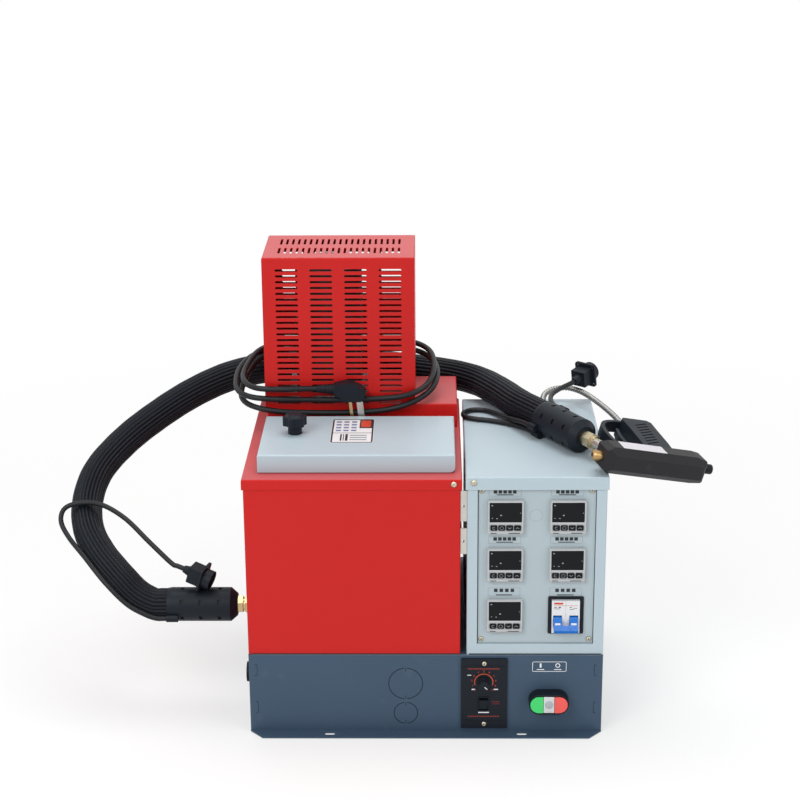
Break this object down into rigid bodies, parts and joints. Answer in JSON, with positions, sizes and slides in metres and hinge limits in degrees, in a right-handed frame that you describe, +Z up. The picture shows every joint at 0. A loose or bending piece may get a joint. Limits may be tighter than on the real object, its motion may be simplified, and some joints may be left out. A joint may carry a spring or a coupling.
{
  "type": "hot melt glue unit",
  "caption": "Bench hot melt glue unit: lidded melt tank with a gear pump under a perforated motor cover, control cabinet, slotted base, heated hose and hand glue gun.",
  "frame": {"origin": "on the floor, at the centre of the four base slots", "axes": "+Z up; -Y is the front with the panel and the controls; +X to the right as seen from the front"},
  "size_m": [0.9027, 0.4281, 0.6167],
  "materials": {
    "slate_paint": "satin",
    "red_paint": "satin",
    "grey_paint": "satin",
    "black_plastic": "matte",
    "window_black": "gloss",
    "bezel_grey": "satin",
    "green_plastic": "gloss",
    "red_plastic": "gloss",
    "clear_lens": "gloss",
    "white_plastic": "satin",
    "blue_plastic": "gloss",
    "zinc": "satin",
    "steel": "machined",
    "cast_aluminium": "cast",
    "motor_paint": "painted",
    "brass": "machined",
    "hose_sleeve": "braided",
    "cable_rubber": "matte"
  },
  "bodies": {
    "frame": {"base_frame": "slate_paint", "tank_cabinet": "red_paint", "tank_top_cover": "red_paint", "rear_cover": "red_paint", "motor_cover": "red_paint", "control_cabinet": "grey_paint", "control_top_cover": "grey_paint", "control_panel": "grey_paint", "speed_controller": "black_plastic", "button_housing": "black_plastic", "hose_socket": "black_plastic", "cord_gland": "black_plastic", "gun_adjuster": "black_plastic", "gun_grip": "black_plastic", "breaker_frame": "black_plastic", "hose_inlet_cuff": "black_plastic", "hose_outlet_cuff": "black_plastic", "gun_shell": "black_plastic", "hose_lead_socket": "black_plastic", "gun_lead_socket": "black_plastic", "mains_plug": "black_plastic", "controller_overlays": "window_black", "temperature_controller_1": "bezel_grey", "temperature_controller_2": "bezel_grey", "temperature_controller_3": "bezel_grey", "temperature_controller_4": "bezel_grey", "temperature_controller_5": "bezel_grey", "pilot_lens": "clear_lens", "breaker": "white_plastic", "lid_hinge_base": "zinc", "tie_brackets": "zinc", "screws": "zinc", "gun_conduit": "zinc", "gun_inlet": "zinc", "plug_pins": "zinc", "motor_bracket": "steel", "pump_housing": "steel", "tank_heaters": "steel", "melt_tank": "cast_aluminium", "gearbox": "motor_paint", "gear_motor": "motor_paint", "outlet_nipple": "brass", "hose_nut": "brass", "gun_nozzle": "brass", "heated_hose": "hose_sleeve", "hose_lead": "cable_rubber", "gun_leads": "cable_rubber", "mains_cord": "cable_rubber"},
    "lid": {"tank_lid": "grey_paint", "lid_knob": "black_plastic"},
    "speed_knob": {"speed_knob": "black_plastic"},
    "speed_switch": {"speed_switch": "black_plastic"},
    "start_button": {"start_button": "green_plastic"},
    "stop_button": {"stop_button": "red_plastic"},
    "breaker_handle": {"breaker_handle": "blue_plastic"},
    "trigger": {"trigger": "black_plastic"},
    "pump_drive": {"pump_shaft": "steel", "shaft_coupling": "steel", "gearbox_shaft": "steel"},
    "driven_gear": {"driven_gear": "steel"}
  },
  "joints": [
    {"name": "lid_hinge", "type": "hinge", "parent": "frame", "child": "lid", "pos_m": [0.033, -0.0635, 0.3774], "axis": [0, 1, 0], "range_deg": [0, 90]},
    {"name": "speed_turn", "type": "hinge", "parent": "frame", "child": "speed_knob", "pos_m": [0.079, -0.175, 0.0764], "axis": [0, 1, 0], "range_deg": [-270, 0]},
    {"name": "switch_rock", "type": "hinge", "parent": "frame", "child": "speed_switch", "pos_m": [0.0787, -0.167, 0.0438], "axis": [-1, 0, 0], "range_deg": [0, 20]},
    {"name": "start_press", "type": "slide", "parent": "frame", "child": "start_button", "axis": [0, 1, 0], "range_m": [0, 0.004], "stiffness_N_per_m": 300},
    {"name": "stop_press", "type": "slide", "parent": "frame", "child": "stop_button", "axis": [0, 1, 0], "range_m": [0, 0.004], "stiffness_N_per_m": 300},
    {"name": "breaker_throw", "type": "hinge", "parent": "frame", "child": "breaker_handle", "pos_m": [0.18815, -0.165, 0.166], "axis": [-1, 0, 0], "range_deg": [0, 70]},
    {"name": "trigger_pull", "type": "hinge", "parent": "frame", "child": "trigger", "pos_m": [0.28013, -0.10468, 0.38525], "axis": [-0.2725, 0.0259, -0.9618], "range_deg": [0, 8], "stiffness_Nm_per_rad": 0.6},
    {"name": "pump_turn", "type": "hinge", "parent": "frame", "child": "pump_drive", "pos_m": [-0.136, 0.102, 0.2], "axis": [0, 0, 1], "continuous": true},
    {"name": "driven_turn", "type": "hinge", "parent": "frame", "child": "driven_gear", "pos_m": [-0.106, 0.102, 0.2], "axis": [0, 0, 1], "continuous": true}
  ],
  "couplings": [
    {"joint": "driven_turn", "follows": "pump_turn", "ratio": -1}
  ]
}
